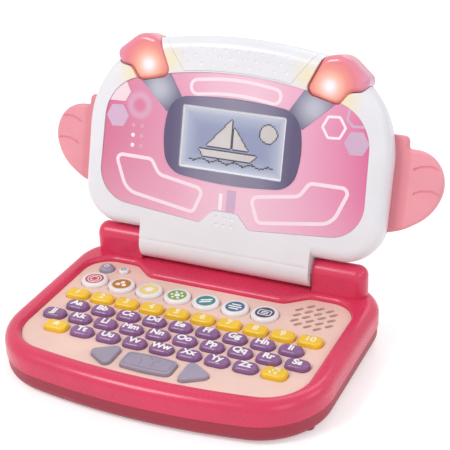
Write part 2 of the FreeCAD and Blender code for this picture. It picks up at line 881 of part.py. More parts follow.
def lamp_ways():
    way = slab(inset(right_lamp, -lamp_gap), lamp_back, lid_front + stalk_proud)
    return both_sides(way)


def make_front_frame():
    frame = front_block()
    underside = bar(lobe_radius, -lid_half_width, lid_half_width, 0, 0)
    frame = frame.cut(underside)
    frame = frame.cut(handle_space(handle_gap))
    room = slab(inset(lid_outline, lid_wall), lid_seam - overcut, frame_ceiling)
    room = room.cut(bar(lobe_radius + lid_wall, -lid_half_width, lid_half_width, 0, 0))
    frame = frame.cut(room)
    band_height = lid_foot + lid_front_round - neck_foot
    band_corner = V(-barrel_end_x, neck_foot, lid_seam)
    band = Part.makeBox(2 * barrel_end_x, band_height, lid_front - lid_seam, band_corner)
    band_edges = [
        e for e in band.Edges
        if abs(e.BoundBox.ZMin - lid_front) < 1e-4 and abs(e.BoundBox.YMax - neck_foot) < 1e-4
    ]
    band = band.makeFillet(neck_round, band_edges)
    barrel = bar(barrel_radius, -barrel_end_x, barrel_end_x, 0, 0)
    frame = frame.multiFuse([band, barrel])
    bosses = [peg(lid_boss_radius, x, v, lid_seam, frame_ceiling + overcut) for x, v in lid_screw_at]
    frame = frame.multiFuse(bosses)
    bore = bar(pin_radius + pin_gap, barrel_end_x - pin_in_barrel - overcut, barrel_end_x + overcut, 0, 0)
    cuts = [
        slab(inset(panel_outline, -panel_gap), panel_back, lid_front + overcut),
        slab(inset(panel_outline, panel_ledge), frame_ceiling - overcut, panel_back + overcut),
    ]
    cuts += both_sides(bore) + lamp_ways()
    cuts += [screw_way(x, v, lid_screw_low, lid_screw_length) for x, v in lid_screw_at]
    cuts += [dimple(x, screen_v + height)
             for height in notch_dimple_heights for x in row_xs(notch_dimple_count, notch_dimple_pitch)]
    return cut_all(frame, cuts).removeSplitter()


def make_rear_cover():
    cover = back_block()
    room = slab(inset(lid_outline, lid_wall + lid_seam_inset), lid_back + lid_back_wall, lid_seam + overcut)
    room = room.cut(bar(lobe_radius + lid_wall, -lid_half_width, lid_half_width, 0, 0))
    cover = cover.cut(room)
    bosses = [peg(boss_radius, x, v, lid_back + overcut, lid_seam) for x, v in lid_screw_at]
    cover = cover.multiFuse(bosses)
    cuts = [
        bar(lobe_radius, -lid_half_width, lid_half_width, 0, 0),
        bar(barrel_radius + cover_barrel_gap, -barrel_end_x - overcut, barrel_end_x + overcut, 0, 0),
        handle_space(handle_gap),
    ]
    cuts += lamp_ways() + both_sides(hand_solid(-hand_slot_gap))
    cuts += [screw_way(x, v, lid_screw_low, lid_screw_length) for x, v in lid_screw_at]
    return cut_all(cover, cuts).removeSplitter()


def hand_solid(margin):
    outline = inset(right_hand, margin)
    return slab(outline, hand_back + margin, hand_back + hand_thickness - margin)


def crease(beyond, height):
    """A curved groove across the back of the fingers."""
    ring = Part.makeCylinder(crease_radius, 2 * crease_depth, V(0, 0, 0), V(0, 0, 1), crease_span)
    ring = ring.cut(peg(crease_radius - crease_width, 0, 0, 0, 2 * crease_depth))
    ring.rotate(V(0, 0, 0), V(0, 0, 1), crease_start)
    ring.translate(V(lid_half_width + beyond, screen_v + height - crease_radius,
                     hand_back + hand_thickness - crease_depth))
    return ring


def make_hand():
    hand = hand_solid(0)
    front = hand_back + hand_thickness
    outer_edges = [
        e for level in (hand_back, front) for e in level_edges(hand, level)
        if e.BoundBox.XMax > hand_root_x + 1e-3
    ]
    hand = hand.makeFillet(hand_round, outer_edges)
    return cut_all(hand, [crease(beyond, height) for beyond, height in crease_tops])


def make_lamp():
    lamp = slab(right_lamp, lamp_back, lid_front)
    lamp = rounded_at(lamp, lid_front, lamp_front_round)
    lamp = rounded_at(lamp, lamp_back, lamp_back_round)
    well = peg(led_well_radius, led_x, screen_v + led_height, lamp_back - overcut, lamp_back + led_well_depth)
    return lamp.cut(well)


def make_handle():
    whole = front_block().fuse(back_block())
    handle = whole.common(handle_space(0))
    hollow = inset(lid_outline, handle_wall + lid_seam_inset)
    room = slab(hollow, lid_back + handle_wall, lid_front - handle_wall)
    handle = handle.cut(room.common(handle_space(-handle_wall)))
    dimples = [dimple(x, screen_v + height)
               for height, count in zip(dimple_heights, dimple_counts) for x in row_xs(count, dimple_pitch)]
    return cut_all(handle, dimples).removeSplitter()


def make_surround():
    """The grey screen surround with the two stalks that lie on the panel and reach up to the lamps."""
    middle = slab(surround_outline, panel_back, panel_front + surround_proud)
    stalk = slab(right_stalk, panel_front, panel_front + stalk_proud)
    stalk = rounded_at(stalk, panel_front + stalk_proud, stalk_round)
    stalk = stalk.common(slab(panel_outline, panel_back, lid_front + stalk_proud))
    piece = middle.multiFuse(both_sides(stalk))
    window_way = slab(inset(window_outline, -window_gap), panel_back - overcut,
                      panel_front + surround_proud + overcut)
    piece = piece.cut(window_way)
    return cut_all(piece, lamp_ways()).removeSplitter()


def make_panel():
    panel = slab(panel_outline, panel_back, panel_front)
    surround = slab(inset(surround_outline, -panel_gap), panel_back - overcut, panel_front + overcut)
    return cut_all(panel, [surround] + lamp_ways()).removeSplitter()


lcd_half_width = window_half_width + lcd_border
lcd_half_height = window_half_height + lcd_border
lcd_outline = rectangle(0, screen_v, lcd_half_width, lcd_half_height, window_corner)
lcd_back = panel_back - lcd_thickness
screen_window = slab(window_outline, panel_front - window_thickness, panel_front)
lcd_face = slab(window_outline, lcd_back, panel_front - window_thickness)
lcd_module = slab(lcd_outline, lcd_back, panel_back).fuse(lcd_face).removeSplitter()
screen_board = slab(lcd_outline, lcd_back - board_thickness, lcd_back)


def make_led():
    led_v = screen_v + led_height
    dome = lamp_back + led_length - led_radius
    lens = Part.makeSphere(led_radius, V(led_x, led_v, dome))
    stem = peg(led_radius, led_x, led_v, lamp_back, dome)
    foot = peg(led_well_radius - lamp_gap, led_x, led_v, lamp_back, lamp_back + board_thickness)
    return stem.multiFuse([lens, foot]).removeSplitter()


lamp_right = make_lamp()
hand_right = make_hand()
lid_pieces = {
    "lid_front_frame": make_front_frame(),
    "lid_rear_cover": make_rear_cover(),
    "face_panel": make_panel(),
    "screen_surround": make_surround(),
    "screen_window": screen_window,
    "lcd_module": lcd_module,
    "screen_circuit_board": screen_board,
    "carry_handle": make_handle(),
    "lamp_right": lamp_right,
    "lamp_left": lamp_right.mirror(V(0, 0, 0), V(1, 0, 0)),
    "lamp_leds": Part.Compound(both_sides(make_led())),
    "hand_right": hand_right,
    "hand_left": hand_right.mirror(V(0, 0, 0), V(1, 0, 0)),
    "lid_screws": Part.Compound([screw(x, v, lid_screw_low, lid_screw_length) for x, v in lid_screw_at]),
}

nodes = {
    "base_top_case": make_top_case(),
    "base_bottom_case": make_bottom_case(),
    "keyboard_plate": keyboard_plate,
    "key_membrane": key_membrane,
    "main_circuit_board": main_circuit_board,
    "speaker": make_speaker(),
    "battery_tray": make_tray(),
    "battery_cells": make_cells(),
    "battery_contacts": make_contacts(),
    "battery_door": battery_door,
    "battery_door_screw": battery_door_screw,
    "case_screws": case_screws,
    "rubber_feet": rubber_feet,
    "hinge_pins": hinge_pins,
    "hinge_washers": hinge_washers,
}
nodes.update({name: to_open(solid) for name, solid in lid_pieces.items()})
nodes.update(keys)

# The finished toy stands with the middle of its whole footprint, lid and hands counted, at the origin.
whole = Part.Compound(list(nodes.values())).BoundBox
to_origin = V(-whole.Center.x, -whole.Center.y, -whole.ZMin)

os.makedirs("parts", exist_ok=True)
for name, solid in nodes.items():
    placed = solid.copy()
    placed.translate(to_origin)
    placed.exportStep("parts/%s.step" % name)
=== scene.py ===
import json
import math

import bpy
from mathutils import Matrix, Vector


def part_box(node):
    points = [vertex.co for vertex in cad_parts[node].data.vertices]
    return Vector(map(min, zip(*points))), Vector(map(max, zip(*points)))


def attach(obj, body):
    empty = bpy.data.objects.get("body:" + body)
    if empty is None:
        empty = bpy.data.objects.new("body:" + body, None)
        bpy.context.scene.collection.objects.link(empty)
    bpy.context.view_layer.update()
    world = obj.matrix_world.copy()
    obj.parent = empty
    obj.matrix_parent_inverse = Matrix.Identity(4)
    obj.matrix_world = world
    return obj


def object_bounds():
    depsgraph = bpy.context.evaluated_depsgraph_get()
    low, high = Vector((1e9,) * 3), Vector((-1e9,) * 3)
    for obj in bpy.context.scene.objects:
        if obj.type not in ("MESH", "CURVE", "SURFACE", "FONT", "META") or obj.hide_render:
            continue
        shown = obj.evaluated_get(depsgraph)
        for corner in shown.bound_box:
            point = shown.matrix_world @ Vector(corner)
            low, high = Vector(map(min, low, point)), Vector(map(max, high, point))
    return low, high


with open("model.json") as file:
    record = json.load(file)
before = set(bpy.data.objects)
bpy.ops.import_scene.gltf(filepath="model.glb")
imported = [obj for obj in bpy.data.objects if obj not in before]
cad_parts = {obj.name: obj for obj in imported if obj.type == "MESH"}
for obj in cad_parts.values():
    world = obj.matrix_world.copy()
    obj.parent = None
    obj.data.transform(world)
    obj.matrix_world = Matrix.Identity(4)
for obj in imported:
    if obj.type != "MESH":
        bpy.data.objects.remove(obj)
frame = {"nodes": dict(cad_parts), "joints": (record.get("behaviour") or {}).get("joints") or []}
cad_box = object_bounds()
nodes = frame["nodes"]
MM = 0.001

# The lid's own frame: x across, v up the lid from the hinge axis, w out of its face
hinge = next(joint for joint in frame["joints"] if joint["name"] == "lid_hinge")
hinge_at = Vector(hinge["pos_m"])
lid_tilt = math.radians(hinge["range_deg"][1] - 90)
X_DIR = Vector((1, 0, 0))
V_DIR = Vector((0, math.sin(lid_tilt), math.cos(lid_tilt)))
W_DIR = Vector((0, -math.cos(lid_tilt), math.sin(lid_tilt)))


def lid_range(node, direction):
    """The lowest and highest place of a node's points along a direction, counted from the hinge axis."""
    places = [(vertex.co - hinge_at).dot(direction) for vertex in nodes[node].data.vertices]
    return min(places), max(places)


WINDOW_FOOT, WINDOW_TOP = lid_range("screen_window", V_DIR)
WINDOW_BACK = lid_range("screen_window", W_DIR)[0]
PANEL_FACE = lid_range("face_panel", W_DIR)[1]
SCREEN_HALF_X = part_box("screen_window")[1].x
SCREEN_HALF_V = (WINDOW_TOP - WINDOW_FOOT) / 2
LID_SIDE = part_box("lid_front_frame")[1].x
SCREEN_CENTRE = hinge_at + V_DIR * (WINDOW_FOOT + WINDOW_TOP) / 2 + W_DIR * PANEL_FACE
LID_FRAME = Matrix((
    (1, 0, 0, SCREEN_CENTRE.x),
    (0, V_DIR.y, W_DIR.y, SCREEN_CENTRE.y),
    (0, V_DIR.z, W_DIR.z, SCREEN_CENTRE.z),
    (0, 0, 0, 1)))


def on_face(x, height):
    """A point of the lid's face, in millimetres across and up from the screen centre."""
    return SCREEN_CENTRE + X_DIR * x * MM + V_DIR * height * MM


# Shader building

GRAIN_RANGE = (0.3, 0.7)
GRAIN_HEIGHT = 0.2 * MM
ROUGH_SPREAD = 0.10
CLOUD_SCALE = 28.0
CLOUD_RANGE = (0.35, 0.65)
COAT_ROUGH = 0.1


def colour(code):
    """A linear colour from a hex sRGB code."""
    parts = [int(code[place:place + 2], 16) / 255 for place in (0, 2, 4)]
    linear = [part / 12.92 if part <= 0.04045 else ((part + 0.055) / 1.055) ** 2.4 for part in parts]
    return (*linear, 1.0)


class Nodes:
    """A material with short calls to add and join its shader nodes."""

    def __init__(self, name):
        self.material = bpy.data.materials.new(name)
        self.material.use_nodes = True
        self.tree = self.material.node_tree
        self.shader = self.tree.nodes["Principled BSDF"]
        self.place = self.add("ShaderNodeTexCoord").outputs["Object"]

    def add(self, kind, **settings):
        node = self.tree.nodes.new(kind)
        for key, value in settings.items():
            setattr(node, key, value)
        return node

    def join(self, source, target):
        self.tree.links.new(source, target)

    def feed(self, value, target):
        """Join another node's output to a socket, or set the socket to a plain value."""
        if isinstance(value, bpy.types.NodeSocket):
            self.join(value, target)
        else:
            target.default_value = value

    def set(self, **values):
        """Set the shader's own sockets, with underscores for the spaces in their names."""
        for name, value in values.items():
            self.shader.inputs[name.replace("_", " ")].default_value = value

    def noise(self, scale, detail=3.0):
        node = self.add("ShaderNodeTexNoise")
        node.inputs["Scale"].default_value = scale
        node.inputs["Detail"].default_value = detail
        self.join(self.place, node.inputs["Vector"])
        return node.outputs["Fac"]

    def ramp(self, factor, stops):
        """A colour or a grey value by stops (position, colour or number)."""
        node = self.add("ShaderNodeValToRGB")
        elements = node.color_ramp.elements
        while len(elements) < len(stops):
            elements.new(0.5)
        for element, (position, value) in zip(elements, stops):
            element.position = position
            element.color = value if isinstance(value, tuple) else (value, value, value, 1.0)
        self.join(factor, node.inputs["Fac"])
        return node.outputs["Color"]

    def mix(self, factor, first, second):
        """A colour between two others, which the node takes at its inputs 6 and 7."""
        node = self.add("ShaderNodeMix", data_type="RGBA")
        self.feed(factor, node.inputs["Factor"])
        self.feed(first, node.inputs[6])
        self.feed(second, node.inputs[7])
        return node.outputs[2]

    def math(self, operation, first, second=0.0):
        node = self.add("ShaderNodeMath", operation=operation)
        self.feed(first, node.inputs[0])
        self.feed(second, node.inputs[1])
        return node.outputs[0]

    def along(self, direction, origin):
        """Distance along a direction from an origin, in metres."""
        shift = self.add("ShaderNodeVectorMath", operation="SUBTRACT")
        self.join(self.place, shift.inputs[0])
        shift.inputs[1].default_value = origin
        dot = self.add("ShaderNodeVectorMath", operation="DOT_PRODUCT")
        self.join(shift.outputs[0], dot.inputs[0])
        dot.inputs[1].default_value = direction
        return dot.outputs["Value"]

    def reach(self, centre):
        """Distance from a point of the lid's face, measured in the face."""
        wide = self.along(X_DIR, centre)
        tall = self.along(V_DIR, centre)
        square = self.math("ADD", self.math("MULTIPLY", wide, wide), self.math("MULTIPLY", tall, tall))
        return self.math("SQRT", square)

    def span(self, value, low, high):
        """A value as a share of the way from low to high."""
        node = self.add("ShaderNodeMapRange")
        self.join(value, node.inputs["Value"])
        node.inputs["From Min"].default_value = low
        node.inputs["From Max"].default_value = high
        return node.outputs["Result"]

    def skin(self, rough, grain, depth):
        """Fine moulded grain: roughness that varies a little, and a shallow bump."""
        fine = self.noise(grain)
        spread = self.math("MULTIPLY", self.span(fine, *GRAIN_RANGE), ROUGH_SPREAD)
        roughness = self.math("ADD", spread, rough - ROUGH_SPREAD / 2)
        self.join(roughness, self.shader.inputs["Roughness"])
        bump = self.add("ShaderNodeBump")
        bump.inputs["Strength"].default_value = depth
        bump.inputs["Distance"].default_value = GRAIN_HEIGHT
        self.join(fine, bump.inputs["Height"])
        self.join(bump.outputs["Normal"], self.shader.inputs["Normal"])

    def paint(self, base):
        self.join(base, self.shader.inputs["Base Color"])

    def painted(self):
        """The socket that colours the surface so far."""
        return self.shader.inputs["Base Color"].links[0].from_socket


def plastic(name, code, rough=0.35, grain=2600.0, depth=0.06, cloud=0.05, coat=0.0):
    """Moulded plastic: one colour with soft clouds, a fine grain and a little gloss."""
    kit = Nodes(name)
    base = colour(code)
    dark = tuple(part * (1 - 2 * cloud) for part in base[:3]) + (1.0,)
    clouds = kit.span(kit.noise(CLOUD_SCALE), *CLOUD_RANGE)
    kit.paint(kit.mix(clouds, dark, base))
    kit.skin(rough, grain, depth)
    kit.set(Coat_Weight=coat, Coat_Roughness=COAT_ROUGH)
    return kit


def metal(name, code, rough):
    """Plated metal with a coarser grain than the plastics."""
    kit = plastic(name, code, rough, grain=900.0, depth=0.1, cloud=0.06)
    kit.set(Metallic=1.0)
    return kit


def dress(kit, *names):
    """Give the named nodes a material in place of their own."""
    for name in names:
        data = nodes[name].data
        data.materials.clear()
        data.materials.append(kit.material)


# Plain materials of the base, the keys and the pieces inside

number_keys = ["number_key_%d" % number for number in range(1, 11)]
activity_buttons = ["activity_button_%d" % number for number in range(1, 8)]
grey_buttons = ["power_button", "centre_pad", "arrow_key_right", "arrow_key_left"]
letter_strips = {
    "letter_keys_a_to_i": "ABCDEFGHI",
    "letter_keys_j_to_s": "JKLMNOPQRS",
    "letter_keys_t_to_z": "TUVWXYZ",
}
steel_nodes = ["battery_contacts", "battery_door_screw", "case_screws", "lid_screws", "hinge_pins"]

coral = plastic("coral_shell", "E43C62", 0.28, depth=0.02, coat=0.1)
coral.set(Specular_IOR_Level=0.4)
dress(coral, "base_top_case")
# painted shade: the lower case is the same coral plastic as the top, coloured darker for the shade below the
# shell's bulge
dress(plastic("coral_lower", "A82B43", 0.45), "base_bottom_case", "battery_door")
dress(plastic("peach_plate", "F8D5C8", 0.5, depth=0.12), "keyboard_plate")
yellow = plastic("yellow_key", "FFD02A", 0.34, grain=1400.0, depth=0.14, coat=0.1)
dress(yellow, *number_keys, "smile_key", "music_key")
dress(plastic("purple_key", "8C5E92", 0.28, depth=0.03, coat=0.2), *letter_strips)
dress(plastic("white_button", "FAF7FA", 0.28, coat=0.2), *activity_buttons, "volume_button")
dress(plastic("grey_button", "A59DB1", 0.4), *grey_buttons)
dress(plastic("silicone_sheet", "D2D1CC", 0.6), "key_membrane")
dress(plastic("circuit_board", "1D6B3C", 0.4), "main_circuit_board", "screen_circuit_board")
dress(plastic("speaker_black", "17171A", 0.5), "speaker")
dress(plastic("tray_black", "232326", 0.5), "battery_tray")
dress(plastic("battery_wrap", "56606E", 0.3), "battery_cells")
dress(plastic("nylon", "E6E3DC", 0.4), "hinge_washers")
dress(plastic("foot_rubber", "2A282A", 0.75), "rubber_feet")
dress(plastic("led_lens", "FBF2DC", 0.15), "lamp_leds")
dress(metal("plated_steel", "B9BABF", 0.3), *steel_nodes)

# Shaded materials of the lid: points are in millimetres across and up from the screen centre

LAMP_HEART = (61.0, 42.4)
LAMP_REACH = 26 * MM
HALO_POINTS = ((72.5, 35.0), (46.5, 47.0))
HALO_REACH = (3 * MM, 13 * MM)
HALO_DEPTH = (-8 * MM, -4 * MM)     # along w: the warm light stays off the lid's back
HAND_SHADE_WIDTH = 16 * MM
FILM_HALF_X = 92 * MM
FILM_TOP = 45 * MM
FILM_FOOT = -50 * MM
SOFT_RING = (-65.6, 15.5)
SOFT_RING_RADIUS = 11 * MM
# Sides of the pale field, each as a point on the side and the direction into the field
PALE_FIELD_SIDES = (
    ((-76.2, 16.9), (-0.03, 1.0)),
    ((-76.2, 16.9), (-0.89, 0.46)),
    ((-72.8, 23.4), (-0.88, -0.47)))
SURROUND_HALF_X = 46 * MM
STALK_SHEEN = (52.5, 28.0)
STALK_SHEEN_REACH = 14 * MM
STALK_TOP = 0.55 * MM
SCREEN_GLOW_WIDTH = 14 * MM
SCREEN_EDGE_WIDTH = 2 * MM
WINDOW_ALPHA = 0.08


def white_shell():
    """White moulded shell, with a little of the lamps' warm light painted into its colour beside them."""
    kit = plastic("white_shell", "F2F1F6", 0.36, cloud=0.02, coat=0.1)
    shade = kit.painted()
    # painted light: a warm glow beside each lamp is mixed into the base colour, on the lid's front only
    front = kit.span(kit.along(W_DIR, SCREEN_CENTRE), *HALO_DEPTH)
    for side in (-1, 1):
        for x, height in HALO_POINTS:
            near = kit.span(kit.reach(on_face(side * x, height)), *HALO_REACH)
            painted_lamp_glow = kit.ramp(near, [(0.0, 0.7), (0.5, 0.25), (1.0, 0.0)])
            shade = kit.mix(kit.math("MULTIPLY", painted_lamp_glow, front), shade, colour("FBEBBE"))
    kit.paint(shade)
    return kit


def hand_pink():
    """Soft pink hands, with painted shade where they run into the lid."""
    kit = plastic("hand_pink", "F4A0AC", 0.42)
    # painted shade: the hands are coloured darker in a band beside the lid's sides
    out = kit.math("ABSOLUTE", kit.along(X_DIR, (0, 0, 0)))
    share = kit.span(out, LID_SIDE, LID_SIDE + HAND_SHADE_WIDTH)
    depth = kit.ramp(share, [(0.0, 0.75), (0.5, 0.6), (0.62, 0.0)])
    kit.paint(kit.mix(depth, kit.painted(), colour("E88996")))
    return kit


def corner_field(kit):
    """One inside the pale field at the film's upper left edge, and zero outside it."""
    inside = 1.0
    for spot, (across, up) in PALE_FIELD_SIDES:
        into = X_DIR * across + V_DIR * up
        beyond = kit.math("GREATER_THAN", kit.along(into, on_face(*spot)), 0.0)
        inside = kit.math("MULTIPLY", inside, beyond)
    return inside


def panel_film():
    """Printed film on the lid's face: deeper pink at the sides, pale in the middle, one soft ring."""
    kit = Nodes("panel_film")
    across = kit.span(kit.along(X_DIR, SCREEN_CENTRE), -FILM_HALF_X, FILM_HALF_X)
    sides = kit.ramp(across, [
        (0.0, colour("DC7096")), (0.12, colour("E286A7")), (0.3, colour("EEA2C0")),
        (0.42, colour("F7C0D6")), (0.58, colour("F9CBDE")), (0.75, colour("F3AFCC")),
        (0.9, colour("EB8BB3")), (1.0, colour("E4689C"))])
    height = kit.span(kit.along(V_DIR, SCREEN_CENTRE), FILM_TOP, FILM_FOOT)
    lower = kit.ramp(height, [(0.0, 0.18), (0.35, 0.0), (0.7, 0.1), (1.0, 0.32)])
    shade = kit.mix(lower, sides, colour("FAD3E3"))
    shade = kit.mix(corner_field(kit), shade, colour("FCE2EC"))
    ring = kit.span(kit.reach(on_face(*SOFT_RING)), 0.0, SOFT_RING_RADIUS)
    tint = kit.ramp(ring, [(0.0, 0.0), (0.28, 0.1), (0.5, 0.75), (0.68, 0.75), (0.9, 0.05), (1.0, 0.0)])
    shade = kit.mix(tint, shade, colour("E2B2CF"))
    heart = kit.ramp(ring, [(0.0, 0.7), (0.3, 0.45), (0.5, 0.0)])
    kit.paint(kit.mix(heart, shade, colour("E8799F")))
    kit.skin(rough=0.3, grain=3000.0, depth=0.03)
    kit.set(Coat_Weight=0.2)
    return kit


def surround_plastic():
    """Grey-violet surround, darker at its ends; the stalks lie lower, with a painted sheen across their
    middle.
    """
    kit = Nodes("surround_plastic")
    out = kit.math("ABSOLUTE", kit.along(X_DIR, SCREEN_CENTRE))
    ends = kit.ramp(kit.span(out, 0.0, SURROUND_HALF_X), [
        (0.0, colour("938EA5")), (0.5, colour("88829B")), (0.78, colour("6D6686")), (0.9, colour("605879"))])
    # painted highlight: each stalk is made paler about its middle
    stalk = colour("7E7B95")
    for side in (-1, 1):
        middle = on_face(side * STALK_SHEEN[0], STALK_SHEEN[1])
        near = kit.span(kit.reach(middle), 0.0, STALK_SHEEN_REACH)
        painted_sheen = kit.ramp(near, [(0.0, 1.0), (0.3, 0.85), (0.7, 0.35), (1.0, 0.0)])
        stalk = kit.mix(painted_sheen, stalk, colour("C5C6D5"))
    raised = kit.math("GREATER_THAN", kit.along(W_DIR, SCREEN_CENTRE), STALK_TOP)
    kit.paint(kit.mix(raised, stalk, ends))
    kit.skin(rough=0.32, grain=2600.0, depth=0.05)
    return kit


def screen_cell():
    """Lit liquid crystal: blue-grey in the middle, paler towards its edges, with a thin white border."""
    kit = Nodes("screen_cell")
    wide = kit.math("ABSOLUTE", kit.along(X_DIR, SCREEN_CENTRE))
    high = kit.math("ABSOLUTE", kit.along(V_DIR, SCREEN_CENTRE))
    from_side = kit.math("SUBTRACT", SCREEN_HALF_X, wide)
    from_top = kit.math("SUBTRACT", SCREEN_HALF_V, high)
    inside = kit.math("MINIMUM", from_side, from_top)
    glow = kit.ramp(kit.span(inside, 0.0, SCREEN_GLOW_WIDTH), [
        (0.0, colour("F6F6FA")), (0.075, colour("F6F6FA")), (0.11, colour("CDD1DE")),
        (0.35, colour("AEB5CD")), (0.75, colour("969EBF")), (1.0, colour("8F97BA"))])
    kit.paint(glow)
    kit.join(glow, kit.shader.inputs["Emission Color"])
    edge = kit.ramp(kit.span(inside, 0.0, SCREEN_EDGE_WIDTH), [(0.0, 0.2), (0.55, 0.2), (0.75, 0.08)])
    kit.join(edge, kit.shader.inputs["Emission Strength"])
    kit.set(Roughness=0.5)
    return kit


def lamp_plastic(name, side):
    """Milky pink lamp, lit from inside: a warm white heart that fades through orange to pink, and a paler
    lilac outer part that is partly painted reflection.
    """
    kit = Nodes(name)
    heart = on_face(side * LAMP_HEART[0], LAMP_HEART[1])
    share = kit.span(kit.reach(heart), 0.0, LAMP_REACH)
    # the lamp's own light fades out by 0.8; the paler lilac outer stops are partly a painted reflection of
    # the white studio
    tone = kit.ramp(share, [
        (0.0, colour("FFEAF0")), (0.1, colour("FDDDE2")), (0.24, colour("F8BBA8")), (0.4, colour("F49C8E")),
        (0.6, colour("F0858F")), (0.8, colour("EC92A9")), (1.0, colour("DD9FC2"))])
    kit.paint(tone)
    kit.join(tone, kit.shader.inputs["Emission Color"])
    light = kit.ramp(share, [(0.0, 0.36), (0.15, 0.22), (0.4, 0.06), (0.8, 0.0)])
    kit.join(light, kit.shader.inputs["Emission Strength"])
    kit.skin(rough=0.24, grain=2600.0, depth=0.04)
    kit.set(Coat_Weight=0.3)
    return kit


dress(white_shell(), "lid_front_frame", "lid_rear_cover", "carry_handle")
dress(hand_pink(), "hand_right", "hand_left")
dress(panel_film(), "face_panel")
dress(surround_plastic(), "screen_surround")
dress(screen_cell(), "lcd_module")
dress(lamp_plastic("lamp_plastic_right", 1), "lamp_right")
dress(lamp_plastic("lamp_plastic_left", -1), "lamp_left")
window = plastic("clear_window", "F4F6FA", 0.08)
window.set(Alpha=WINDOW_ALPHA)
dress(window, "screen_window")

# Outlines of thin prints, in millimetres on the face that carries them

ARC_STEPS = 8
CIRCLE_STEPS = 64
LEAST_ROUNDING = 0.2


def rounded(corners):
    """Points of a closed outline through corners (x, y, rounding)."""
    points = []
    for index, (x, y, radius) in enumerate(corners):
        corner = Vector((x, y, 0))
        after = corners[(index + 1) % len(corners)]
        back = (Vector((*corners[index - 1][:2], 0)) - corner).normalized()
        ahead = (Vector((*after[:2], 0)) - corner).normalized()
        if radius <= 0:
            points.append(corner)
            continue
        half = back.angle(ahead) / 2
        centre = corner + (back + ahead).normalized() * (radius / math.sin(half))
        start = corner + back * (radius / math.tan(half)) - centre
        end = corner + ahead * (radius / math.tan(half)) - centre
        turns = [start.slerp(end, step / ARC_STEPS) for step in range(ARC_STEPS + 1)]
        points += [centre + turn * radius for turn in turns]
    return points


def grown(corners, distance):
    """The same anticlockwise outline with every side moved outwards."""
    result = []
    for index, (x, y, radius) in enumerate(corners):
        corner = Vector((x, y, 0))
        after = corners[(index + 1) % len(corners)]
        into = (corner - Vector((*corners[index - 1][:2], 0))).normalized()
        away = (Vector((*after[:2], 0)) - corner).normalized()
        turn = into.x * away.y - into.y * away.x
        normal = Vector((into.y + away.y, -into.x - away.x, 0))
        moved = corner + normal * (distance / (1 + into.dot(away)))
        change = distance if turn > 0 else -distance
        rounding = max(radius + change, LEAST_ROUNDING) if radius > 0 else 0
        result.append((moved.x, moved.y, rounding))
    return result


def stroke(corners, width):
    """The outer and inner edges of a line of steady width along a closed outline."""
    return [rounded(grown(corners, width / 2)), rounded(grown(corners, -width / 2))]


def ribbon(path, width):
    """A closed outline of steady width round an open path."""
    spots = [Vector((x, y, 0)) for x, y in path]
    runs = [(after - before).normalized() for before, after in zip(spots, spots[1:])]
    left = []
    right = []
    for spot, into, away in zip(spots, runs[:1] + runs, runs + runs[-1:]):
        out = Vector((-into.y - away.y, into.x + away.x, 0)) * (width / 2 / (1 + into.dot(away)))
        left.append(spot + out)
        right.append(spot - out)
    return right + left[::-1]


def circle(x, y, radius):
    """Points of a circle about its middle."""
    turns = [2 * math.pi * step / CIRCLE_STEPS for step in range(CIRCLE_STEPS)]
    return [Vector((x + radius * math.cos(turn), y + radius * math.sin(turn), 0)) for turn in turns]


def hexagon(x, y, radius):
    """Corners of a hexagon that leans a little, as all those on the panel do."""
    angles = [math.radians(60 * side + HEXAGON_LEAN) for side in range(6)]
    spots = [(x + radius * math.cos(angle), y + radius * math.sin(angle)) for angle in angles]
    return [(*spot, HEXAGON_ROUNDING) for spot in spots]


def oblong(x, y, half_x, half_y, rounding):
    """Corners of a rectangle about its middle."""
    turns = ((-1, -1), (1, -1), (1, 1), (-1, 1))
    return [(x + a * half_x, y + b * half_y, rounding) for a, b in turns]


def star(radius, points):
    """Corners of a star with one point upwards."""
    spots = []
    for step in range(2 * points):
        angle = math.pi * (0.5 + step / points)
        reach = radius if step % 2 == 0 else radius * STAR_WAIST
        spots.append((reach * math.cos(angle), reach * math.sin(angle), 0.0))
    return spots


def swung(corners, y, degrees):
    """An outline turned about its origin and then moved up to y."""
    cosine = math.cos(math.radians(degrees))
    sine = math.sin(math.radians(degrees))
    return [(a * cosine - b * sine, y + a * sine + b * cosine, radius) for a, b, radius in corners]


def mirrored(corners):
    """The same outline on the other side of the middle, still anticlockwise."""
    return [(-x, y, radius) for x, y, radius in reversed(corners)]


# Pieces made from outlines and words

PRINT = 0.12 * MM
LEGEND_SIZE = 7.0 * MM
LEGEND_SLOPE = 0.3 * MM
LEGEND_FLAT = Matrix.Diagonal((1.0, 1.0, 0.4, 1.0))


def add_piece(name, mesh, place, kit, body):
    """A mesh as a piece, set at its place and carried by a body."""
    mesh.transform(place)
    mesh.materials.clear()
    mesh.materials.append(kit.material)
    piece = bpy.data.objects.new(name, mesh)
    bpy.context.scene.collection.objects.link(piece)
    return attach(piece, body)


def solid_mesh(name, curve):
    """The mesh of a curve or text."""
    holder = bpy.data.objects.new(name + "_curve", curve)
    bpy.context.scene.collection.objects.link(holder)
    bpy.context.view_layer.update()
    shape = holder.evaluated_get(bpy.context.evaluated_depsgraph_get())
    mesh = bpy.data.meshes.new_from_object(shape)
    bpy.data.objects.remove(holder)
    return mesh


def printed(name, loops, place, kit, body, thick=PRINT):
    """A thin filled shape inside closed loops; a loop within another is a hole."""
    curve = bpy.data.curves.new(name, "CURVE")
    curve.dimensions = "2D"
    curve.fill_mode = "BOTH"
    curve.extrude = thick
    for loop in loops:
        spline = curve.splines.new("POLY")
        spline.points.add(len(loop) - 1)
        for point, spot in zip(spline.points, loop):
            point.co = (spot[0] * MM, spot[1] * MM, 0, 1)
        spline.use_cyclic_u = True
    return add_piece(name, solid_mesh(name, curve), place, kit, body)


def on_panel(name, loops, kit):
    return printed(name, loops, LID_FRAME, kit, "lid")


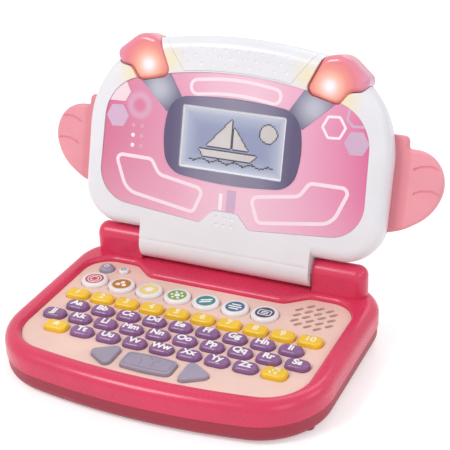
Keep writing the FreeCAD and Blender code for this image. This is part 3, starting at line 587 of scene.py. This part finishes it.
def top_of(node):
    """The middle of a node's top face, as a place to print on."""
    low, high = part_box(node)
    return Matrix.Translation(((low.x + high.x) / 2, (low.y + high.y) / 2, high.z))


def on_key(name, loops, kit, key, thick=PRINT):
    return printed(name, loops, top_of(key), kit, key, thick)


def lettered(name, words, kit, body):
    """Several short words as one piece: (text, place) pairs, in heavy strokes with sloped edges."""
    parts = []
    for text, place in words:
        curve = bpy.data.curves.new(name, "FONT")
        curve.body = text
        curve.size = LEGEND_SIZE
        curve.bevel_depth = LEGEND_SLOPE
        curve.bevel_resolution = 0
        curve.align_x = "CENTER"
        curve.align_y = "CENTER"
        curve.extrude = PRINT
        parts.append(add_piece(name, solid_mesh(name, curve), place @ LEGEND_FLAT, kit, body))
    if len(parts) > 1:
        with bpy.context.temp_override(active_object=parts[0], selected_editable_objects=parts):
            bpy.ops.object.join()
    return parts[0]


# Face panel graphics, heights counted from the screen centre

PRINT_GLOW = 0.05
BOOT = [(22.4, -48.2, 3.5), (71.2, -41.0, 13.0), (80.6, -17.8, 3.5),
        (54.4, -18.0, 4.5), (48.4, -27.2, 7.0), (16.2, -32.4, 4.0)]
BOOT_LINE = 2.35
ARCH = [(-29.0, 27.0, 4.4), (0.0, 30.8, 130.0), (29.0, 27.0, 4.4),
        (31.6, 35.8, 4.4), (0.0, 40.2, 140.0), (-31.6, 35.8, 4.4)]
ARCH_LINE = 2.1
HEXAGON_LEAN = 4
HEXAGON_ROUNDING = 0.8
FILLED_HEXAGON_RADIUS = 8.1
RIGHT_HEXAGON = (81.4, 10.1)
LEFT_HEXAGON = (-81.0, 7.2)
OPEN_HEXAGON = (66.2, 18.0)
OPEN_HEXAGON_RADIUS = 7.4
OPEN_HEXAGON_LINE = 1.6
CUT_HEXAGON = ((75.0, 30.2), (74.2, 23.8), (78.0, 20.1), (85.2, 20.65))
CUT_HEXAGON_LINE = 1.7
BAR_ROUNDING = 0.5
WHITE_BAR = oblong(-3.8, -38.6, 1.2, 5.4, BAR_ROUNDING)
LILAC_BAR = oblong(3.2, -37.2, 3.1, 6.9, BAR_ROUNDING)
PANEL_DOT_RADIUS = 1.35
PANEL_DOT_COLUMNS = (-69.0, -62.7)
PANEL_DOT_ROWS = (2.3, -4.2, -10.8)

film_pale = plastic("print_pale", "FEE6EF", 0.35, cloud=0.02)
film_white = plastic("print_white", "FFF1F6", 0.3, cloud=0.01)
film_lilac = plastic("print_lilac", "DDB9D6", 0.35, cloud=0.03)
film_soft = plastic("print_soft", "EBAAC6", 0.35, cloud=0.04)
# painted glow: the pale and white prints are given a faint light of their own, though they are no lamp
for glowing in (film_pale, film_white):
    glowing.set(Emission_Color=colour("FFE9F1"), Emission_Strength=PRINT_GLOW)

on_panel("panel_boot_right", stroke(BOOT, BOOT_LINE), film_pale)
on_panel("panel_boot_left", stroke(mirrored(BOOT), BOOT_LINE), film_pale)
on_panel("panel_arch", stroke(ARCH, ARCH_LINE), film_pale)
open_hexagon = hexagon(*OPEN_HEXAGON, OPEN_HEXAGON_RADIUS)
on_panel("panel_hexagon_white", stroke(open_hexagon, OPEN_HEXAGON_LINE), film_white)
on_panel("panel_hexagon_right", [rounded(hexagon(*RIGHT_HEXAGON, FILLED_HEXAGON_RADIUS))], film_lilac)
on_panel("panel_hexagon_left", [rounded(hexagon(*LEFT_HEXAGON, FILLED_HEXAGON_RADIUS))], film_lilac)
on_panel("panel_hexagon_cut", [ribbon(CUT_HEXAGON, CUT_HEXAGON_LINE)], film_lilac)
on_panel("panel_bar_white", [rounded(WHITE_BAR)], film_white)
on_panel("panel_bar_lilac", [rounded(LILAC_BAR)], film_lilac)
outer_column, inner_column = PANEL_DOT_COLUMNS
top_row, *lower_rows = PANEL_DOT_ROWS
bright = [(outer_column, y) for y in lower_rows]
soft = [(outer_column, top_row)] + [(inner_column, y) for y in PANEL_DOT_ROWS]
on_panel("panel_dots_bright", [circle(x, y, PANEL_DOT_RADIUS) for x, y in bright], film_white)
on_panel("panel_dots_soft", [circle(x, y, PANEL_DOT_RADIUS) for x, y in soft], film_soft)

# Screen picture: a small sailing boat in square dots, dark outlines round pale fields

DOT = 0.85
COLUMNS = 76
ROWS = 42
SAIL = {"left": -17, "right": -1, "foot": -4, "top": 14, "peak": -1}
JIB = {"left": 1, "right": 11, "foot": -4, "top": 9, "peak": 1}
HULL_FOOT = -11
HULL_TOP = -6.5
HULL_STERN = -19
HULL_BOW = 13
STERN_RAKE = 0.8
SUN = (24, 8)
SUN_RADIUS = 5.48
WAVE_LEVEL = -13.6
WAVE_HEIGHT = 0.9
WAVE_RATE = 0.55
WAVE_HALF_LINE = 0.45
SEA_HALF_WIDTH = 29
BESIDE = ((1, 0), (-1, 0), (0, 1), (0, -1))


def in_triangle(x, y, left, right, foot, top, peak):
    """Whether a point is in a triangle with a level foot."""
    if not foot <= y <= top:
        return False
    share = (y - foot) / (top - foot)
    return left + (peak - left) * share <= x <= right + (peak - right) * share


def in_hull(x, y):
    rise = y - HULL_FOOT
    return HULL_FOOT <= y <= HULL_TOP and HULL_STERN - STERN_RAKE * rise <= x <= HULL_BOW + rise


def in_field(x, y):
    """Whether a point is in one of the picture's pale fields."""
    in_sun = math.dist((x, y), SUN) <= SUN_RADIUS
    return in_sun or in_hull(x, y) or in_triangle(x, y, **SAIL) or in_triangle(x, y, **JIB)


def on_wave(x, y):
    height = WAVE_LEVEL + WAVE_HEIGHT * math.sin(x * WAVE_RATE)
    return abs(y - height) < WAVE_HALF_LINE and abs(x) < SEA_HALF_WIDTH


def picture_dots():
    """The places of the pale dots and of the dark dots beside them."""
    pale = []
    dark = []
    for column in range(COLUMNS):
        for row in range(ROWS):
            x = (column - (COLUMNS - 1) / 2) * DOT
            y = (row - (ROWS - 1) / 2) * DOT
            if in_field(x, y):
                pale.append((x, y))
            elif on_wave(x, y) or any(in_field(x + a * DOT, y + b * DOT) for a, b in BESIDE):
                dark.append((x, y))
    return pale, dark


def dot_piece(name, spots, kit):
    """Square dots as one piece of thin closed blocks on the window's back."""
    half = DOT * MM / 2
    square = ((-1, -1), (1, -1), (1, 1), (-1, 1))
    points = []
    faces = []
    for x, y in spots:
        start = len(points)
        points += [(x * MM + a * half, y * MM + b * half, height) for height in (0, PRINT) for a, b in square]
        faces.append((start + 3, start + 2, start + 1, start))
        faces.append((start + 4, start + 5, start + 6, start + 7))
        for side in range(4):
            after = (side + 1) % 4
            faces.append((start + side, start + after, start + 4 + after, start + 4 + side))
    mesh = bpy.data.meshes.new(name)
    mesh.from_pydata(points, [], faces)
    place = LID_FRAME @ Matrix.Translation((0, 0, WINDOW_BACK - PANEL_FACE))
    return add_piece(name, mesh, place, kit, "lid")


pale_dots, dark_dots = picture_dots()
dot_piece("screen_dots_pale", pale_dots, plastic("screen_pale", "DCD6D4", 0.5))
dot_piece("screen_dots_dark", dark_dots, plastic("screen_dark", "2E2834", 0.5))

# Key legends

KEY_LENGTH = 15.0 * MM
KEY_FLANGE = 0.8 * MM
STAR_WAIST = 0.45
KEY_STAR_RADIUS = 3.2
KEY_STAR_POINTS = 5
NOTE_HEAD_RADIUS = 1.1
NOTE_HEADS = ((-1.9, -1.9), (1.5, -1.9))
NOTE_STEM_XS = (-1.2, 2.2)
NOTE_STEM_HALF_WIDTH = 0.35
NOTE_STEM_HALF_HEIGHT = 2.1
NOTE_STEM_Y = 0.3
NOTE_BEAM = [(-1.55, 1.7, 0), (2.55, 2.1, 0), (2.55, 3.0, 0), (-1.55, 2.6, 0)]

legend_white = plastic("legend_white", "FFFFFF", 0.35, cloud=0.01)
legend_cream = plastic("legend_cream", "FFF6D2", 0.35, cloud=0.01)


def letter_legends(strip, letters):
    """A capital and a small letter on each key of a strip, the keys evenly spaced from end to end."""
    low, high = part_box(strip)
    first = low.x + KEY_FLANGE + KEY_LENGTH / 2
    last = high.x - KEY_FLANGE - KEY_LENGTH / 2
    pitch = (last - first) / (len(letters) - 1)
    words = []
    for index, letter in enumerate(letters):
        place = Matrix.Translation((first + index * pitch, (low.y + high.y) / 2, high.z))
        words.append((letter + letter.lower(), place))
    lettered(strip.replace("keys", "legends"), words, legend_white, strip)


def note_legend(key):
    """Two joined music notes: a beam, two heads and two stems."""
    heads = [circle(x, y, NOTE_HEAD_RADIUS) for x, y in NOTE_HEADS]
    on_key("legend_note_beam", [rounded(NOTE_BEAM)], legend_cream, key)
    on_key("legend_note_heads", heads, legend_cream, key)
    for index, x in enumerate(NOTE_STEM_XS):
        stem = oblong(x, NOTE_STEM_Y, NOTE_STEM_HALF_WIDTH, NOTE_STEM_HALF_HEIGHT, 0)
        on_key("legend_note_stem_%d" % index, [rounded(stem)], legend_cream, key)


for strip, letters in letter_strips.items():
    letter_legends(strip, letters)
for number, key in enumerate(number_keys, start=1):
    lettered("legend_%d" % number, [(str(number), top_of(key))], legend_cream, key)
note_legend("music_key")
on_key("legend_star", [rounded(star(KEY_STAR_RADIUS, KEY_STAR_POINTS))], legend_cream, "smile_key")

# Activity buttons: a coloured disc in each dish, with a plain white figure

DISC_RADIUS = 6.0
DISH_DEPTH = 0.4 * MM
DISC_COLOURS = ("D0485F", "C98528", "FFE682", "86B04A", "3F8F93", "4E7396", "4A4668")
RING_RADII = (4.6, 4.0, 2.8, 2.2)
BALLS = ((-2.1, -0.9), (2.1, -0.9), (0, 1.9))
BALL_RADIUS = 1.5
BURST_RADIUS = 4.0
BURST_POINTS = 8
FLOWER_RADIUS = 1.8
PETALS = 6
PETAL_REACH = 3.6
PETAL_RADIUS = 0.9
SLASH = oblong(0, 0, 3.8, 0.7, 0.6)
SLASH_HEIGHTS = (1.2, -1.2)
SLASH_DEGREES = 25
STRIPE_HEIGHTS = (-2.4, 0.0, 2.4)
STRIPE_HALF_LENGTH = 4.4        # of the middle one; the others are shorter by a share of their height
STRIPE_SHORTENING = 0.5
STRIPE_HALF_WIDTH = 0.55
STRIPE_ROUNDING = 0.5
CARD = oblong(0, 0, 4.0, 2.7, 1.2)
CARD_LINE = 0.6
CARD_ROWS = (-0.9, 0.9)
CARD_ROW_HALF_LENGTH = 2.4
CARD_ROW_HALF_WIDTH = 0.4
CARD_ROW_ROUNDING = 0.3


def flower():
    """A round heart with a ring of round petals."""
    turns = [2 * math.pi * petal / PETALS for petal in range(PETALS)]
    spots = [(PETAL_REACH * math.cos(turn), PETAL_REACH * math.sin(turn)) for turn in turns]
    return [circle(0, 0, FLOWER_RADIUS)] + [circle(x, y, PETAL_RADIUS) for x, y in spots]


def stripe(height):
    half_length = STRIPE_HALF_LENGTH - abs(height) * STRIPE_SHORTENING
    return rounded(oblong(0, height, half_length, STRIPE_HALF_WIDTH, STRIPE_ROUNDING))


def card():
    """A rounded frame with two short rows in it."""
    rows = [oblong(0, y, CARD_ROW_HALF_LENGTH, CARD_ROW_HALF_WIDTH, CARD_ROW_ROUNDING) for y in CARD_ROWS]
    return stroke(CARD, CARD_LINE) + [rounded(row) for row in rows]


figures = (
    [circle(0, 0, radius) for radius in RING_RADII],
    [circle(x, y, BALL_RADIUS) for x, y in BALLS],
    [rounded(star(BURST_RADIUS, BURST_POINTS))],
    flower(),
    [rounded(swung(SLASH, height, SLASH_DEGREES)) for height in SLASH_HEIGHTS],
    [stripe(height) for height in STRIPE_HEIGHTS],
    card(),
)
for button, code, loops in zip(activity_buttons, DISC_COLOURS, figures):
    dish = top_of(button) @ Matrix.Translation((0, 0, -DISH_DEPTH + PRINT))
    disc_top = dish @ Matrix.Translation((0, 0, PRINT))
    ink = plastic(button + "_ink", code, 0.35)
    printed(button + "_disc", [circle(0, 0, DISC_RADIUS)], dish, ink, button)
    printed(button + "_figure", loops, disc_top, legend_white, button)

# Marks on the power and volume buttons, and painted shade in the lines let into the pad

POWER_RING = oblong(0, 0, 1.5, 1.5, 1.45)
POWER_RING_LINE = 0.5
POWER_BAR = oblong(0, 1.3, 0.3, 1.0, 0.25)
VOLUME_RING_RADII = (1.7, 1.1)
PAD_EDGE = [(-14.6, -5.2, 2.0), (0, -6.8, 120.0), (14.6, -5.2, 2.0),
            (14.6, 5.2, 2.0), (0, 6.8, 120.0), (-14.6, 5.2, 2.0)]
PAD_CREASES = (
    ((-6.6, 3.2), (-4.4, 0.8), (-4.2, -3.4)),
    ((-0.8, 5.2), (1.4, 2.9)),
    ((6.2, 3.6), (3.2, 1.0), (3.4, -3.6)))
PAD_LINE = 0.4
PAD_PRINT = PRINT / 3

mark_dark = plastic("mark_dark", "6F7A98", 0.4)
pad_groove_shade = plastic("pad_groove_shade", "857D93", 0.45)
on_key("power_mark_ring", stroke(POWER_RING, POWER_RING_LINE), legend_white, "power_button")
on_key("power_mark_bar", [rounded(POWER_BAR)], legend_white, "power_button")
on_key("volume_mark", [circle(0, 0, radius) for radius in VOLUME_RING_RADII], mark_dark, "volume_button")
# painted shade: the grooves let into the pad are drawn as thin darker lines on its top
on_key("pad_line", stroke(PAD_EDGE, PAD_LINE), pad_groove_shade, "centre_pad", PAD_PRINT)
for index, crease in enumerate(PAD_CREASES):
    on_key("pad_crease_%d" % index, [ribbon(crease, PAD_LINE)], pad_groove_shade, "centre_pad", PAD_PRINT)

# Studio: pale floor, soft light from above and the front

FLOOR_SIZE = 12.0
FLOOR_GLOW = 0.38
SKY_LIGHT = 0.46
WHITE = (1, 1, 1, 1)
LIGHTS = {
    "key_light": {"place": (-0.55, -0.75, 1.05), "target": (0, 0, 0.06), "size": 0.5, "power": 7.6},
    "fill_light": {"place": (0.95, -0.6, 0.75), "target": (0, 0, 0.08), "size": 0.7, "power": 2.2},
    "rim_light": {"place": (0.1, 0.9, 1.1), "target": (0, 0, 0.1), "size": 0.8, "power": 3.6},
    "side_light": {"place": (1.1, 0.35, 0.8), "target": (0, 0, 0.1), "size": 0.5, "power": 1.8},
}


def area_light(name, place, target, size, power):
    data = bpy.data.lights.new(name, "AREA")
    data.shape = "DISK"
    data.size = size
    data.energy = power
    lamp = bpy.data.objects.new(name, data)
    bpy.context.scene.collection.objects.link(lamp)
    lamp.location = place
    lamp.rotation_euler = (Vector(target) - Vector(place)).to_track_quat("-Z", "Y").to_euler()


def backdrop_rays(tree):
    """One where a ray shows the backdrop itself: seen by the camera, mirrored, or through clear plastic."""
    path = tree.nodes.new("ShaderNodeLightPath")
    seen = path.outputs["Is Camera Ray"]
    for kind in ("Is Glossy Ray", "Is Transmission Ray"):
        either = tree.nodes.new("ShaderNodeMath")
        either.operation = "MAXIMUM"
        tree.links.new(seen, either.inputs[0])
        tree.links.new(path.outputs[kind], either.inputs[1])
        seen = either.outputs[0]
    return seen


def pale_floor():
    bpy.ops.mesh.primitive_plane_add(size=FLOOR_SIZE, location=(0, 0, cad_box[0].z))
    floor = bpy.context.object
    floor.name = "floor"
    kit = plastic("floor_paper", "F6F5F6", 0.8, cloud=0.01)
    kit.set(Emission_Color=WHITE)
    glow = kit.math("MULTIPLY", backdrop_rays(kit.tree), FLOOR_GLOW)
    kit.join(glow, kit.shader.inputs["Emission Strength"])
    floor.data.materials.append(kit.material)


def studio_world():
    """White where the backdrop itself shows, and a softer light on the object."""
    world = bpy.data.worlds.new("studio")
    bpy.context.scene.world = world
    world.use_nodes = True
    tree = world.node_tree
    backdrop = tree.nodes["Background"]
    backdrop.inputs["Color"].default_value = WHITE
    strength = tree.nodes.new("ShaderNodeMapRange")
    strength.inputs["To Min"].default_value = SKY_LIGHT
    strength.inputs["To Max"].default_value = 1.0
    tree.links.new(backdrop_rays(tree), strength.inputs["Value"])
    tree.links.new(strength.outputs["Result"], backdrop.inputs["Strength"])


# Camera at the photograph's viewing angle, aimed by the row of number keys

IMAGE_WIDTH = 450.0
FOCAL_PIXELS = 1226.1
AIM_PIXEL = (189.75, 314.06)
AIM_DISTANCE = 0.75126
CAMERA_AZIMUTH = math.radians(24.889)
CAMERA_ELEVATION = math.radians(26.894)
CAMERA_ROLL = math.radians(-2.0)
SENSOR_WIDTH = 36.0
NEAR_CLIP = 0.01


def photo_camera():
    low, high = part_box("number_key_1")
    aim = Vector((0, (low.y + high.y) / 2, high.z))
    level = Vector((math.cos(CAMERA_AZIMUTH), math.sin(CAMERA_AZIMUTH), 0))
    behind = Vector((math.sin(CAMERA_AZIMUTH), -math.cos(CAMERA_AZIMUTH), 0))
    back = behind * math.cos(CAMERA_ELEVATION) + Vector((0, 0, math.sin(CAMERA_ELEVATION)))
    rise = back.cross(level)
    right = level * math.cos(CAMERA_ROLL) + rise * math.sin(CAMERA_ROLL)
    up = rise * math.cos(CAMERA_ROLL) - level * math.sin(CAMERA_ROLL)
    per_pixel = AIM_DISTANCE / FOCAL_PIXELS
    centre = IMAGE_WIDTH / 2
    place = aim + back * AIM_DISTANCE
    place += up * (AIM_PIXEL[1] - centre) * per_pixel - right * (AIM_PIXEL[0] - centre) * per_pixel
    data = bpy.data.cameras.new("photo_camera")
    data.sensor_width = SENSOR_WIDTH
    data.lens = FOCAL_PIXELS * SENSOR_WIDTH / IMAGE_WIDTH
    data.clip_start = NEAR_CLIP
    camera = bpy.data.objects.new("photo_camera", data)
    bpy.context.scene.collection.objects.link(camera)
    camera.matrix_world = Matrix((
        (right.x, up.x, back.x, place.x),
        (right.y, up.y, back.y, place.y),
        (right.z, up.z, back.z, place.z),
        (0, 0, 0, 1)))
    bpy.context.scene.camera = camera


pale_floor()
studio_world()
for name, light in LIGHTS.items():
    area_light(name, **light)
photo_camera()
bpy.context.scene.view_settings.view_transform = "Standard"
